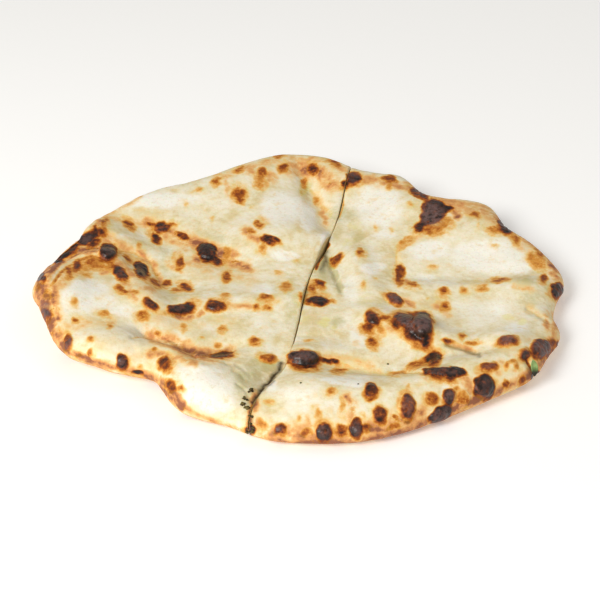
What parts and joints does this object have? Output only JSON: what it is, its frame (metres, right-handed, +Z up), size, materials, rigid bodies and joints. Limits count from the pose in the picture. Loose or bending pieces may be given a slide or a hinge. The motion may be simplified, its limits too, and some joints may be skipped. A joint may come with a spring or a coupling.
{
  "type": "stuffed tandoori paratha",
  "caption": "Wavy, blistered round of oven-baked stuffed flatbread, cut through from front to back, with its thin filling layer showing at the cut.",
  "frame": {"origin": "middle of the bread's box in plan, on the table that it rests on", "axes": "+Z up out of the bread's top face, +X to the right along its widest extent, +Y to the back, so that the cut runs roughly along Y"},
  "size_m": [0.2216, 0.2112, 0.0206],
  "materials": {
    "dough": "pale floury baked dough with brown to black oven blisters and a slight sheen of fat",
    "filling": "soft crumbly yellow filling flecked with chopped green herb and dark spice",
    "herb": "limp pale green baked leaf"
  },
  "bodies": {
    "root": {"left_half": "dough", "right_half": "dough", "filling_left": "filling", "filling_right": "filling", "herb_leaf": "herb"}
  },
  "joints": []
}
